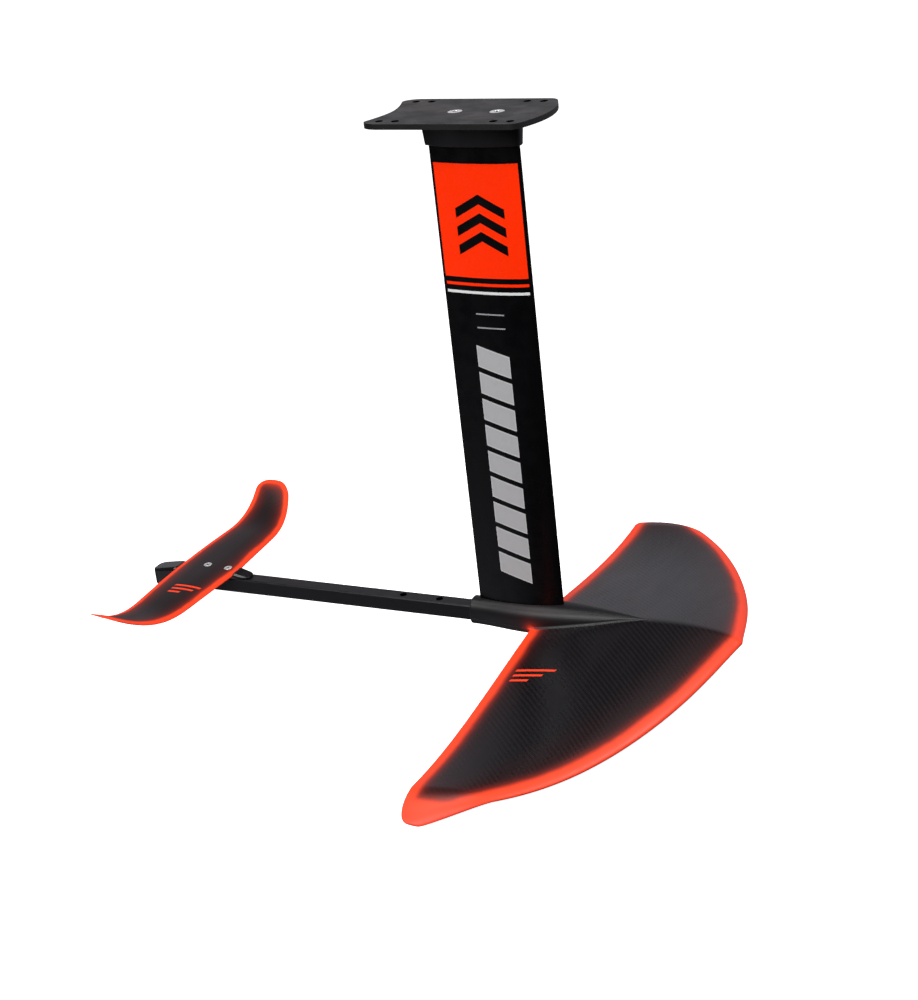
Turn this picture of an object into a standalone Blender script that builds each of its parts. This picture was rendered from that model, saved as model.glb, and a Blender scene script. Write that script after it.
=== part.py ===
"""Hydrofoil assembly: board plate, mast, fuselage bar, front wing and rear wing.

Metres. +X is forward, +Y is port, +Z is up. The origin is on the board face of the
top plate, midway between the two screws that hold the mast.
"""

import math

import bmesh
import bpy

for old in list(bpy.data.objects):
    bpy.data.objects.remove(old, do_unlink=True)

MM = 0.001
GAP = 0.0003  # clearance between neighbouring pieces

# Top plate
PLATE_THICK = 0.0062
PLATE_HALF_WIDTH = 0.0582
PLATE_REAR_MID = -0.1010
PLATE_REAR_HOLLOW = 0.0105
PLATE_FRONT_MID = 0.0875
PLATE_FRONT_BOW = 5.0  # x falls by this times y squared
BOLT_X = (-0.0945, -0.0750, 0.0410, 0.0605)
BOLT_Y = 0.045
BOLT_HOLE = 0.0085

# Mast: an extruded section, leading edge forward
MAST_LE = 0.0480
MAST_TE = -0.0611
MAST_THICK = 0.0160
MAST_TE_THICK = 0.0018
MAST_TOP = -0.0120
MAST_FOOT = -0.5991
SCREW_X = (-0.0250, 0.0250)  # the two screw channels that run down the mast
CHANNEL_RADIUS = 0.0053

# Head block under the plate
BLOCK_BOTTOM = -0.0370
BLOCK_LE = 0.0504
BLOCK_TE = -0.0651
BLOCK_THICK = 0.0256
BLOCK_DRAFT = 0.0030

# Fuselage bar
BAR_TOP = -0.5994
BAR_HEIGHT = 0.0193
BAR_WIDTH = 0.0200
BAR_TAIL = -0.5200
BAR_NOSE = 0.0670
BAR_CHAMFER = 0.0014
BAR_HOLES_X = (-0.1672, -0.1175)
BAR_BOTTOM = BAR_TOP - BAR_HEIGHT

# Collar and fairing moulded with the front wing
COLLAR_REAR = -0.0715
COLLAR_BOTTOM = -0.6251
FAIRING_APEX = 0.1580
WING_SCREW_X = (-0.0500, 0.0520)
SCREW_SUNK = 0.0002  # how far the screw heads sit inside the collar
WASHER_RADIUS = 0.0094
WASHER_BORE = 0.0053
WASHER_CUP = 0.0042  # depth of the cup that a bolt head sits in
WASHER_SUNK = 0.0004  # how far the washers sit inside the collar

# Rear wing and its cradle
REAR_SCREW_X = (-0.4495, -0.4194)
REAR_SCREW_TOP = (-0.5875, -0.5892)  # nearly flush with the wing's cambered top
CRADLE_TAIL = -0.5310
CRADLE_NOSE = -0.3855

HELPERS = bpy.data.collections.new("cutters")
bpy.context.scene.collection.children.link(HELPERS)
HELPERS.hide_render = True


def material(name, colour, roughness, metallic=0.0):
    made = bpy.data.materials.new(name)
    made.use_nodes = True
    shader = made.node_tree.nodes["Principled BSDF"]
    shader.inputs["Base Color"].default_value = (*colour, 1.0)
    shader.inputs["Roughness"].default_value = roughness
    shader.inputs["Metallic"].default_value = metallic
    return made


ANODISED = material("black_anodised", (0.012, 0.012, 0.013), 0.42, 0.6)
PLATE_BLACK = material("plate_black", (0.05, 0.05, 0.052), 0.55, 0.4)
CARBON = material("carbon", (0.028, 0.026, 0.028), 0.38)
GLOSS = material("gloss_black", (0.008, 0.008, 0.009), 0.15)
STEEL = material("stainless", (0.62, 0.62, 0.61), 0.28, 1.0)


def to_object(name, bm, mat):
    mesh = bpy.data.meshes.new(name)
    bmesh.ops.recalc_face_normals(bm, faces=bm.faces)
    bm.to_mesh(mesh)
    bm.free()
    obj = bpy.data.objects.new(name, mesh)
    bpy.context.scene.collection.objects.link(obj)
    if mat:
        mesh.materials.append(mat)
    return obj


def as_cutter(obj):
    bpy.context.scene.collection.objects.unlink(obj)
    HELPERS.objects.link(obj)
    obj.hide_render = True
    obj.display_type = "WIRE"
    return obj


def loft(name, rings, mat=None):
    """A closed skin through rings of equally many points, with both ends filled."""
    bm = bmesh.new()
    rows = [[bm.verts.new(point) for point in ring] for ring in rings]
    count = len(rings[0])
    for near, far in zip(rows, rows[1:]):
        for i in range(count):
            j = (i + 1) % count
            bm.faces.new((near[i], near[j], far[j], far[i]))
    bm.faces.new(rows[0])
    bm.faces.new(rows[-1])
    return to_object(name, bm, mat)


def extruded(name, outlines, low, high, mat=None):
    """One flat outline, with any holes inside it, raised from z = low to z = high."""
    curve = bpy.data.curves.new(name, "CURVE")
    curve.dimensions = "2D"
    curve.fill_mode = "BOTH"
    curve.extrude = (high - low) / 2
    for outline in outlines:
        spline = curve.splines.new("POLY")
        spline.points.add(len(outline) - 1)
        for point, (x, y) in zip(spline.points, outline):
            point.co = (x, y, 0.0, 1.0)
        spline.use_cyclic_u = True
    flat = bpy.data.objects.new(name + "_outline", curve)
    flat.location.z = (low + high) / 2
    bpy.context.scene.collection.objects.link(flat)
    bpy.context.view_layer.update()
    graph = bpy.context.evaluated_depsgraph_get()
    mesh = bpy.data.meshes.new_from_object(flat.evaluated_get(graph))
    bm = bmesh.new()
    bm.from_mesh(mesh)
    bm.transform(flat.matrix_world)
    bmesh.ops.remove_doubles(bm, verts=bm.verts, dist=0.000001)
    bpy.data.objects.remove(flat, do_unlink=True)
    return to_object(name, bm, mat)


def turned(name, profile, x, mat=None, steps=28, y=0.0):
    """A solid of revolution about a vertical axis, from (radius, z) pairs, top first."""
    bm = bmesh.new()
    points = [bm.verts.new((radius, 0.0, z)) for radius, z in profile]
    for a, b in zip(points, points[1:]):
        bm.edges.new((a, b))
    mesh = bpy.data.meshes.new(name)
    bm.to_mesh(mesh)
    bm.free()
    obj = bpy.data.objects.new(name, mesh)
    bpy.context.scene.collection.objects.link(obj)
    screw = obj.modifiers.new("turn", "SCREW")
    screw.steps = screw.render_steps = steps
    screw.use_merge_vertices = True
    screw.merge_threshold = 0.00001
    screw.use_normal_calculate = True
    obj.location = (x, y, 0.0)
    if mat:
        mesh.materials.append(mat)
    return baked(obj)


def baked(obj):
    """Replaces the mesh with what its modifiers and transform make of it."""
    bpy.context.view_layer.update()
    graph = bpy.context.evaluated_depsgraph_get()
    mesh = bpy.data.meshes.new_from_object(obj.evaluated_get(graph))
    mesh.transform(obj.matrix_world)
    obj.modifiers.clear()
    obj.matrix_world.identity()
    obj.location = (0.0, 0.0, 0.0)
    bm = bmesh.new()
    bm.from_mesh(mesh)
    bmesh.ops.remove_doubles(bm, verts=bm.verts, dist=0.000001)
    bmesh.ops.recalc_face_normals(bm, faces=bm.faces)
    bm.to_mesh(mesh)
    bm.free()
    obj.data = mesh
    return obj


def joined(obj, other, operation="DIFFERENCE"):
    step = obj.modifiers.new(other.name, "BOOLEAN")
    step.operation = operation
    step.solver = "EXACT"
    step.object = as_cutter(other)
    return baked(obj)


def cut(obj, *cutters):
    for cutter in cutters:
        joined(obj, cutter)
    return obj


def bevelled(obj, width, segments=2, angle=40.0):
    step = obj.modifiers.new("edge", "BEVEL")
    step.width = width
    step.segments = segments
    step.limit_method = "ANGLE"
    step.angle_limit = math.radians(angle)
    return baked(obj)


def shaded(obj, angle=35.0):
    for polygon in obj.data.polygons:
        polygon.use_smooth = True
    obj.data.set_sharp_from_angle(angle=math.radians(angle))
    return obj


def rod(name, x, radius, low, high, steps=28, y=0.0, mat=None):
    profile = [(0.0, high), (radius, high), (radius, low), (0.0, low)]
    return turned(name, profile, x, mat, steps, y)


def box(name, low, high, mat=None):
    bm = bmesh.new()
    bmesh.ops.create_cube(bm, size=1.0)
    for vert in bm.verts:
        vert.co = [a + (b - a) * (c + 0.5) for a, b, c in zip(low, high, vert.co)]
    return to_object(name, bm, mat)


def bezier(p0, p1, p2, p3, count):
    points = []
    for i in range(1, count):
        t = i / count
        s = 1 - t
        weights = (s * s * s, 3 * s * s * t, 3 * s * t * t, t * t * t)
        points.append(
            tuple(sum(w * p[k] for w, p in zip(weights, (p0, p1, p2, p3))) for k in (0, 1))
        )
    return points


def both_sides(half):
    """An outline from its starboard half, nose to tail, mirrored to port."""
    return half + [(x, -y) for x, y in reversed(half) if abs(y) > 1e-7]


def foil_half(le, te, thick, te_thick, count=14, fullness=2.0, peak=0.38):
    """Half of a mast-like section: a rounded nose, then a taper to a blunt tail."""
    chord = le - te
    x_peak = le - peak * chord
    half = []
    for i in range(count):
        a = math.pi / 2 * i / count
        along = math.cos(a) ** (2 / fullness)
        half.append((x_peak + (le - x_peak) * along, -thick / 2 * math.sin(a) ** (2 / fullness)))
    for i in range(count + 1):
        u = i / count
        y = te_thick / 2 + (thick - te_thick) / 2 * (1 - u * u)
        half.append((x_peak + (te - x_peak) * u, -y))
    return half


def foil_thickness(x):
    """Half thickness of the mast at x."""
    chord = MAST_LE - MAST_TE
    x_peak = MAST_LE - 0.38 * chord
    if x > x_peak:
        return MAST_THICK / 2 * math.sqrt(max(0.0, 1 - ((x - x_peak) / (MAST_LE - x_peak)) ** 2))
    u = (x_peak - x) / (x_peak - MAST_TE)
    return MAST_TE_THICK / 2 + (MAST_THICK - MAST_TE_THICK) / 2 * (1 - u * u)


# ---------------------------------------------------------------- top plate


def plate_outline():
    hw = PLATE_HALF_WIDTH
    rear_y, rear_x = 0.044, PLATE_REAR_MID - PLATE_REAR_HOLLOW
    front_y = 0.0465
    front_x = PLATE_FRONT_MID - PLATE_FRONT_BOW * front_y**2
    half = []
    for i in range(9):  # front edge, centre to the starboard corner
        y = front_y * i / 8
        half.append((PLATE_FRONT_MID - PLATE_FRONT_BOW * y * y, -y))
    half += bezier(
        (front_x, -front_y), (front_x - 0.0028, -front_y - 0.0060),
        (front_x - 0.0060, -hw), (front_x - 0.0140, -hw), 7,
    )
    half.append((front_x - 0.0140, -hw))
    half.append((-0.0925, -hw))
    half += bezier(
        (-0.0925, -hw), (-0.1030, -hw),
        (rear_x - 0.0022, -rear_y - 0.0082), (rear_x, -rear_y), 8,
    )
    for i in range(13):  # hollow rear edge, starboard corner to the centre
        y = rear_y * (12 - i) / 12
        half.append((PLATE_REAR_MID - PLATE_REAR_HOLLOW * (y / rear_y) ** 1.7, -y))
    return both_sides(half)


top_plate = extruded("top_plate", [plate_outline()], -PLATE_THICK, 0.0, PLATE_BLACK)
bevelled(top_plate, 0.0009, 2, 60)
for number, x in enumerate(BOLT_X):
    for side in (-1, 1):
        cut(top_plate, rod(f"bolt_hole_{number}_{side}", x, BOLT_HOLE / 2,
                           -0.010, 0.004, 22, side * BOLT_Y))


def sink(name, x, head, shank, top, depth, low, steps=32, up=1):
    """A cutter for a countersunk screw. up = -1 turns it over, with its head below."""
    slope = head - shank
    profile = [(0.0, top + up * 0.004), (head, top + up * 0.004), (head, top - up * depth)]
    profile += [(shank, top - up * (depth + slope)), (shank, low), (0.0, low)]
    return turned(name, profile if up > 0 else profile[::-1], x, None, steps)


for number, x in enumerate(SCREW_X):
    cut(top_plate, sink(f"plate_sink_{number}", x, 0.0087, 0.0043, 0.0, 0.0008, -0.012))

# ---------------------------------------------------------------- head block


def block_ring(grow, z):
    half = foil_half(BLOCK_LE + grow, BLOCK_TE - grow, BLOCK_THICK + 2 * grow, 0.004,
                     12, 3.2, 0.55)
    return [(x, y, z) for x, y in both_sides(half)]


head_block = loft(
    "head_block",
    [block_ring(0.0, BLOCK_BOTTOM), block_ring(BLOCK_DRAFT, -PLATE_THICK - GAP)],
    ANODISED,
)
bevelled(head_block, 0.0007, 2, 50)
mast_room = both_sides(foil_half(MAST_LE + GAP, MAST_TE - GAP, MAST_THICK + 2 * GAP,
                                 MAST_TE_THICK + 2 * GAP, 12))
cut(head_block, extruded("head_pocket", [mast_room], -0.045, MAST_TOP + GAP))
for number, x in enumerate(SCREW_X):
    cut(head_block, rod(f"head_hole_{number}", x, 0.0043, -0.020, 0.002))

# ---------------------------------------------------------------- mast


def circle(x, radius, count=20):
    return [(x + radius * math.cos(2 * math.pi * i / count),
             radius * math.sin(2 * math.pi * i / count)) for i in range(count)]


def chamber(x_low, x_high, wall=0.0019, count=5):
    """A hollow in the extrusion between two webs, following the skin."""
    lower = []
    for i in range(count + 1):
        x = x_low + (x_high - x_low) * i / count
        lower.append((x, -(foil_thickness(x) - wall)))
    return lower + [(x, -y) for x, y in reversed(lower)]


mast_outer = both_sides(foil_half(MAST_LE, MAST_TE, MAST_THICK, MAST_TE_THICK, 12))
chambers = [chamber(-0.0440, -0.0330), chamber(-0.0170, -0.0040),
            chamber(0.0010, 0.0170), chamber(0.0330, 0.0420, 0.0019, 4)]
channels = [circle(x, CHANNEL_RADIUS) for x in SCREW_X]
mast = extruded("mast", [mast_outer, *chambers, *channels], MAST_FOOT, MAST_TOP, ANODISED)

# ---------------------------------------------------------------- fuselage bar


def bar_ring(x, grow=0.0):
    w, top, low, c = BAR_WIDTH / 2 + grow, BAR_TOP + grow, BAR_BOTTOM - grow, BAR_CHAMFER
    corners = [(w, top - c), (w - c, top), (-w + c, top), (-w, top - c),
               (-w, low + c), (-w + c, low), (w - c, low), (w, low + c)]
    return [(x, y, z) for y, z in corners]


fuselage_bar = loft("fuselage_bar", [bar_ring(BAR_TAIL), bar_ring(BAR_NOSE)], ANODISED)
bevelled(fuselage_bar, 0.0006, 1, 60)
for number, x in enumerate(SCREW_X + BAR_HOLES_X):
    cut(fuselage_bar, rod(f"bar_hole_{number}", x, 0.0043, -0.625, -0.590, 24))
for number, x in enumerate(WING_SCREW_X):
    cut(fuselage_bar, rod(f"bar_tap_{number}", x, 0.0033, -0.625, BAR_TOP - 0.004, 20))
for number, x in enumerate(REAR_SCREW_X):
    cut(fuselage_bar, rod(f"bar_insert_room_{number}", x, 0.0041, -0.625, -0.590, 22))

# ---------------------------------------------------------------- wings

FRONT = {
    "half_span": 0.380,
    "le": (0.2663, 0.2453, 0.2406, 0.1756, 0.1799, 0.0379),
    "te": (0.0121, 0.0097, 0.0066, 0.0073, 0.0073, 0.0073),
    "line": (-0.6129, -0.6306, -0.6592, -0.6387),
    "bend": (0.8823, -0.0216, 1.55),
    "twist": (0.0004, 0.0021),
    "tip": (0.8787, 0.7431, 4.7),
    "camber": 0.0215,
    "thick": 0.0894,
    "tail": 0.0007,
}
REAR = {
    "half_span": 0.210,
    "le": (-0.4065, -0.4103, -0.4145, -0.4157, -0.4462),
    "te": (-0.4896, -0.489, -0.4862, -0.4811, -0.4914),
    "line": (-0.5948, -0.5944, -0.6025),
    "bend": (0.504, 0.0413, 2.38),
    "twist": (0.0028, 0.0058),
    "tip": (0.915, 0.68, 2.2),
    "camber": 0.0265,
    "thick": 0.0900,
    "tail": 0.0006,
}


def along(controls, e):
    """A Bezier curve with evenly spaced controls, read at e of the half span."""
    last = len(controls) - 1
    return sum(math.comb(last, k) * e**k * (1 - e) ** (last - k) * value
               for k, value in enumerate(controls))


def spine(wing, e):
    """Height of the leading edge at e of the half span. Past the bend the tip turns."""
    start, rise, power = wing["bend"]
    over = max(0.0, (e - start) / (1 - start))
    return along(wing["line"], e) + rise * over**power


def station(wing, e):
    """Leading edge x, trailing edge x, and how full the tip still is."""
    start, mid, power = wing["tip"]
    le, te = along(wing["le"], e), along(wing["te"], e)
    over = max(0.0, (e - start) / (1 - start))
    full = (1 - min(over, 1.0) ** power) ** (1 / power)
    centre = te + mid * (le - te)
    return centre + (le - centre) * full, centre + (te - centre) * full, full


def airfoil(s, camber, thick):
    """Height of the camber line and half thickness, as shares of the chord."""
    half = 5 * thick * (0.2969 * math.sqrt(s) - 0.1260 * s - 0.3516 * s**2
                        + 0.2843 * s**3 - 0.1036 * s**4)
    p = 0.42
    if s < p:
        line = camber / p**2 * (2 * p * s - s * s)
    else:
        line = camber / (1 - p) ** 2 * (1 - 2 * p + 2 * p * s - s * s)
    return line, half


def wing_ring(wing, e, side, count=15, grow=0.0):
    le, te, full = station(wing, e)
    step = 0.004
    slope = (spine(wing, min(e + step, 1.0)) - spine(wing, e - step)) / (
        (min(e + step, 1.0) - e + step) * wing["half_span"])
    run = math.hypot(1.0, slope)
    chord = le - te
    twist = along(wing["twist"], e) * chord / (along(wing["le"], e) - along(wing["te"], e))
    ring = []
    for i in range(2 * count + 1):
        over_top = i <= count
        u = (count - i) / count if over_top else (i - count) / count
        s = 1 - math.cos(u * math.pi / 2)
        line, half = airfoil(s, wing["camber"], wing["thick"])
        half = half * chord + wing["tail"] * s * (0.4 + 0.6 * full) + grow
        up = line * chord + (half if over_top else -half)
        x = le - s * chord + (grow if i == count else 0.0) - (grow if s > 0.999 else 0.0)
        y = e * wing["half_span"] - up * slope / run
        ring.append((x, side * y, spine(wing, e) + twist * s + up / run))
    return ring


def wing_stations(inner, tip):
    start = tip[0]
    stations = [start * i / inner for i in range(inner)]
    turns = 9
    for i in range(turns):
        a = math.pi / 2 * i / turns
        stations.append(start + (1 - start) * math.sin(a))
    stations.append(start + (1 - start) * 0.9975)
    return stations


def wing_body(name, wing, inner, mat, count=15, grow=0.0):
    at = wing_stations(inner, wing["tip"])
    rings = [wing_ring(wing, e, -1, count, grow) for e in reversed(at)]
    rings += [wing_ring(wing, e, 1, count, grow) for e in at[1:]]
    return loft(name, rings, mat)


def pod_ring(x, half_width, top, low, upper, lower, count=28):
    """A section across the fuselage, rounder above its middle than below."""
    ring = []
    mid, tall = (top + low) / 2, (top - low) / 2
    for i in range(count):
        a = 2 * math.pi * (i + 0.5) / count
        c, s = math.cos(a), math.sin(a)
        power = upper if s > 0 else lower
        ring.append((x, math.copysign(abs(c) ** (2 / power), c) * half_width,
                     mid + math.copysign(abs(s) ** (2 / power), s) * tall))
    return ring


def blend(a, b, t):
    t = max(0.0, min(1.0, t))
    return a + (b - a) * t * t * (3 - 2 * t)


def collar_crest(x):
    """How far the fairing has sunk toward its apex at x."""
    return max(0.0, (x - 0.040) / (FAIRING_APEX - 0.040))


def collar_low(x):
    """Height of the collar's underside at x, on the middle line."""
    return blend(-0.6230, COLLAR_BOTTOM, (x + 0.069) / 0.075) + 0.0080 * collar_crest(x)**1.5


def collar_section(x, inset=0.0):
    """Half width, top, underside, and how boxy it is above and below its middle."""
    nose = max(0.0, (x - 0.020) / (FAIRING_APEX - 0.020))
    wide = blend(0.0148, 0.0210, (x + 0.070) / 0.085) * (1 - nose**1.75)
    top = blend(-0.5909, -0.5875, (x + 0.068) / 0.110) - 0.0094 * collar_crest(x)**1.9
    return (max(wide, 0.0010) - inset, top - inset, collar_low(x) + inset,
            2.35 - 0.15 * nose, 3.8 - 1.6 * nose)


def collar_rings():
    rounding = ((0.0, 0.0016), (0.0006, 0.0007), (0.0020, 0.0))
    rings = [pod_ring(COLLAR_REAR + run, *collar_section(COLLAR_REAR + run, inset))
             for run, inset in rounding]
    stops = [-0.062, -0.050, -0.035, -0.018, 0.000, 0.018, 0.034, 0.048, 0.062,
             0.076, 0.090, 0.103, 0.115, 0.126, 0.136, 0.145, 0.1520, 0.1570]
    return rings + [pod_ring(x, *collar_section(x)) for x in stops]


front_wing = wing_body("front_wing", FRONT, 15, CARBON)
joined(front_wing, loft("collar", collar_rings()), "UNION")
cut(front_wing,
    loft("bar_room", [bar_ring(COLLAR_REAR - 0.010, GAP), bar_ring(BAR_NOSE + GAP, GAP)]),
    extruded("mast_room", [mast_room], BAR_TOP - 0.002, -0.580))
for number, x in enumerate(SCREW_X):
    cut(front_wing, rod(f"washer_room_{number}", x, WASHER_RADIUS + GAP, -0.640,
                        BAR_BOTTOM + 0.001))
for number, x in enumerate(WING_SCREW_X):
    cut(front_wing, sink(f"wing_sink_{number}", x, 0.0064, 0.0034, collar_low(x), 0.0008,
                         -0.612, 26, -1))

rear_wing = wing_body("rear_wing", REAR, 13, CARBON, 13)
for number, (x, top) in enumerate(zip(REAR_SCREW_X, REAR_SCREW_TOP)):
    cut(rear_wing, sink(f"rear_sink_{number}", x, 0.0057, 0.0029, top - 0.0006, 0.0007,
                        -0.605, 26))

# ---------------------------------------------------------------- rear wing cradle


def cradle_ring(x, half_width, top, low, round_top=0.003):
    c = round_top
    corners = [(half_width, top - c), (half_width - c * 0.35, top - c * 0.3),
               (half_width - c, top), (-half_width + c, top),
               (-half_width + c * 0.35, top - c * 0.3), (-half_width, top - c),
               (-half_width, low + 0.001), (-half_width + 0.001, low),
               (half_width - 0.001, low), (half_width, low + 0.001)]
    return [(x, y, z) for y, z in corners]


CRADLE_SEAT = BAR_TOP + GAP + 0.0001
rear_cradle = loft("rear_wing_cradle", [
    cradle_ring(CRADLE_TAIL, 0.0040, -0.5990, -0.6150),
    cradle_ring(CRADLE_TAIL + 0.0010, 0.0072, -0.5981, -0.6170),
    cradle_ring(CRADLE_TAIL + 0.0040, 0.0104, -0.5972, -0.6188),
    cradle_ring(CRADLE_TAIL + 0.0090, 0.0122, -0.5961, -0.6196),
    cradle_ring(-0.5140, 0.0126, -0.5948, -0.6198, 0.0036),
    cradle_ring(-0.4960, 0.0126, -0.5918, -0.6198, 0.0040),
    cradle_ring(-0.4930, 0.0112, -0.5912, CRADLE_SEAT, 0.0040),
    cradle_ring(-0.4060, 0.0110, -0.5917, CRADLE_SEAT, 0.0040),
    cradle_ring(-0.3980, 0.0104, -0.5936, CRADLE_SEAT, 0.0034),
    cradle_ring(-0.3910, 0.0090, -0.5952, CRADLE_SEAT, 0.0024),
    cradle_ring(-0.3870, 0.0066, -0.5964, CRADLE_SEAT, 0.0015),
    cradle_ring(CRADLE_NOSE, 0.0034, -0.5972, CRADLE_SEAT, 0.0008),
], GLOSS)
seat = wing_body("wing_seat", REAR, 13, None, 13, GAP)
joined(seat, box("over_wing", (REAR["te"][0] - 0.0006, -0.030, -0.5952),
                 (REAR["le"][0] + 0.0006, 0.030, -0.575)), "UNION")
cut(rear_cradle,
    loft("tail_room", [bar_ring(BAR_TAIL - GAP, GAP), bar_ring(CRADLE_NOSE + 0.010, GAP)]),
    seat)
for number, x in enumerate(REAR_SCREW_X):
    cut(rear_cradle, rod(f"cradle_hole_{number}", x, 0.0029, -0.605, -0.590, 20))

# ---------------------------------------------------------------- fasteners


def hex_socket(name, x, across, low, high):
    points = [(x + across / math.sqrt(3) * math.cos(math.pi * i / 3),
               across / math.sqrt(3) * math.sin(math.pi * i / 3)) for i in range(6)]
    return extruded(name, [points], low, high)


def countersunk(name, x, head, shank, top, end, socket, up=1, steps=28):
    """A flat-headed socket screw. Its head is at z = top; up = -1 has it below."""
    rim, slope = 0.0006, head - shank
    profile = [(0.0, top), (head - 0.0003, top), (head, top - up * 0.0003),
               (head, top - up * rim), (shank, top - up * (rim + slope)),
               (shank, end + up * 0.0006), (shank - 0.0006, end), (0.0, end)]
    screw = turned(name, profile if up > 0 else profile[::-1], x, STEEL, steps)
    deep = top - up * 0.0028
    return cut(screw, hex_socket(name + "_hex", x, socket, min(deep, top + up * 0.002),
                                 max(deep, top + up * 0.002)))


def sleeve(name, x, outer, inner, low, high, mat=STEEL, steps=24):
    profile = [(inner, high), (outer, high), (outer, low), (inner, low), (inner, high)]
    return turned(name, profile, x, mat, steps)


ends = ("rear", "front")
for end, x in zip(ends, SCREW_X):
    countersunk(f"plate_screw_{end}", x, 0.0084, 0.0039, -0.0002, -0.0330, 0.0050)
    sleeve(f"mast_head_insert_{end}", x, CHANNEL_RADIUS - GAP, 0.0042, -0.0320, MAST_TOP - GAP)
    sleeve(f"mast_foot_insert_{end}", x, CHANNEL_RADIUS - GAP, 0.0042,
           MAST_FOOT + GAP, MAST_FOOT + 0.0200)
    seat = collar_low(x) + WASHER_SUNK
    countersunk(f"mast_bolt_{end}", x, 0.0083, 0.0039, seat + SCREW_SUNK, -0.5790, 0.0050, -1)
    turned(f"mast_bolt_washer_{end}",
           [(WASHER_BORE, BAR_BOTTOM - GAP), (WASHER_RADIUS, BAR_BOTTOM - GAP),
            (WASHER_RADIUS, seat), (0.0087, seat), (0.0087, seat + 0.0008),
            (WASHER_BORE, seat + WASHER_CUP), (WASHER_BORE, BAR_BOTTOM - GAP)],
           x, STEEL, 28)
for end, x in zip(ends, WING_SCREW_X):
    countersunk(f"wing_screw_{end}", x, 0.0060, 0.0030, collar_low(x) + SCREW_SUNK, -0.6050,
                0.0040, -1, 24)
for end, x, top in zip(ends, REAR_SCREW_X, REAR_SCREW_TOP):
    countersunk(f"rear_wing_screw_{end}", x, 0.0053, 0.0025, top, -0.6150, 0.0036, 1, 26)
    sleeve(f"tail_insert_{end}", x, 0.0038, 0.0028, -0.6120, BAR_TOP - GAP, STEEL, 20)

for obj in bpy.context.scene.collection.objects:
    if obj.type == "MESH":
        shaded(obj)
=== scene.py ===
"""Looks for the hydrofoil assembly: fine meshes and finishes around the fixed frame.

Metres. +X is forward, +Y is port, +Z is up. The origin is on the board face of the
top plate, midway between the two screws that hold the mast.
"""

import math

import bmesh
import bpy
from mathutils import Matrix, Vector
from mathutils.kdtree import KDTree


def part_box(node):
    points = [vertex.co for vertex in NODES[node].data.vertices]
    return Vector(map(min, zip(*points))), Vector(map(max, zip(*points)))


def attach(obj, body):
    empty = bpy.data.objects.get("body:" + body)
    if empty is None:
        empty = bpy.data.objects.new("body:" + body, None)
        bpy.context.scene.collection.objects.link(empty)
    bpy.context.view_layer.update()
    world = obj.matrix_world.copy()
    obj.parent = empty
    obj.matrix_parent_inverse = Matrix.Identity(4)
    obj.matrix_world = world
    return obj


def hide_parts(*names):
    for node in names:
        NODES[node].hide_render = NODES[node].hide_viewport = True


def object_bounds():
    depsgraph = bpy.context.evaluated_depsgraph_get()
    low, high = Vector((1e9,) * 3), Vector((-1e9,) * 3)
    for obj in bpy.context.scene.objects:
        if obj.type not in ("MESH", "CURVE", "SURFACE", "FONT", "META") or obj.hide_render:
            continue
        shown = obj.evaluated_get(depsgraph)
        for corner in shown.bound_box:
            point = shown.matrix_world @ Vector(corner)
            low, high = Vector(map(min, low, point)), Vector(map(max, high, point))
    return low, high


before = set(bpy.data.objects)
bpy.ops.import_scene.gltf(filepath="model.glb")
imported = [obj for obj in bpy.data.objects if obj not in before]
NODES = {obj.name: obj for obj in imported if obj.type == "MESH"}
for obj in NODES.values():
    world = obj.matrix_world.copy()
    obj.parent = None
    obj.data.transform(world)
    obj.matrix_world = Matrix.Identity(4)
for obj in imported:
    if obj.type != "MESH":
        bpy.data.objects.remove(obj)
CAD_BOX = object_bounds()
ENDS = ("rear", "front")
GAP = 0.0003  # clearance between neighbouring pieces


def middle(node):
    low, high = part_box(node)
    return (low + high) / 2


PLATE_LOW, PLATE_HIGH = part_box("top_plate")
BLOCK_LOW, BLOCK_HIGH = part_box("head_block")
MAST_LOW, MAST_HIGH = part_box("mast")
BAR_LOW, BAR_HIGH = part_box("fuselage_bar")
CRADLE_LOW, CRADLE_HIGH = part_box("rear_wing_cradle")
MAST_SCREW_X = [middle(f"mast_bolt_{end}").x for end in ENDS]
WING_SCREW_X = [middle(f"wing_screw_{end}").x for end in ENDS]
REAR_SCREW_X = [middle(f"rear_wing_screw_{end}").x for end in ENDS]

# -------- mesh helpers


def linked(name, data):
    obj = bpy.data.objects.new(name, data)
    bpy.context.scene.collection.objects.link(obj)
    return obj


def from_bmesh(name, bm):
    bmesh.ops.recalc_face_normals(bm, faces=bm.faces)
    mesh = bpy.data.meshes.new(name)
    bm.to_mesh(mesh)
    bm.free()
    return linked(name, mesh)


def loft(name, rings):
    """A closed skin through rings of equally many points, with both ends filled."""
    bm = bmesh.new()
    rows = [[bm.verts.new(point) for point in ring] for ring in rings]
    for near, far in zip(rows, rows[1:]):
        for i in range(len(near)):
            j = (i + 1) % len(near)
            bm.faces.new((near[i], near[j], far[j], far[i]))
    bm.faces.new(rows[0])
    bm.faces.new(rows[-1])
    return from_bmesh(name, bm)


def evaluated_mesh(obj):
    """The mesh that a curve's fill or an object's modifiers make."""
    bpy.context.view_layer.update()
    graph = bpy.context.evaluated_depsgraph_get()
    return bpy.data.meshes.new_from_object(obj.evaluated_get(graph))


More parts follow.
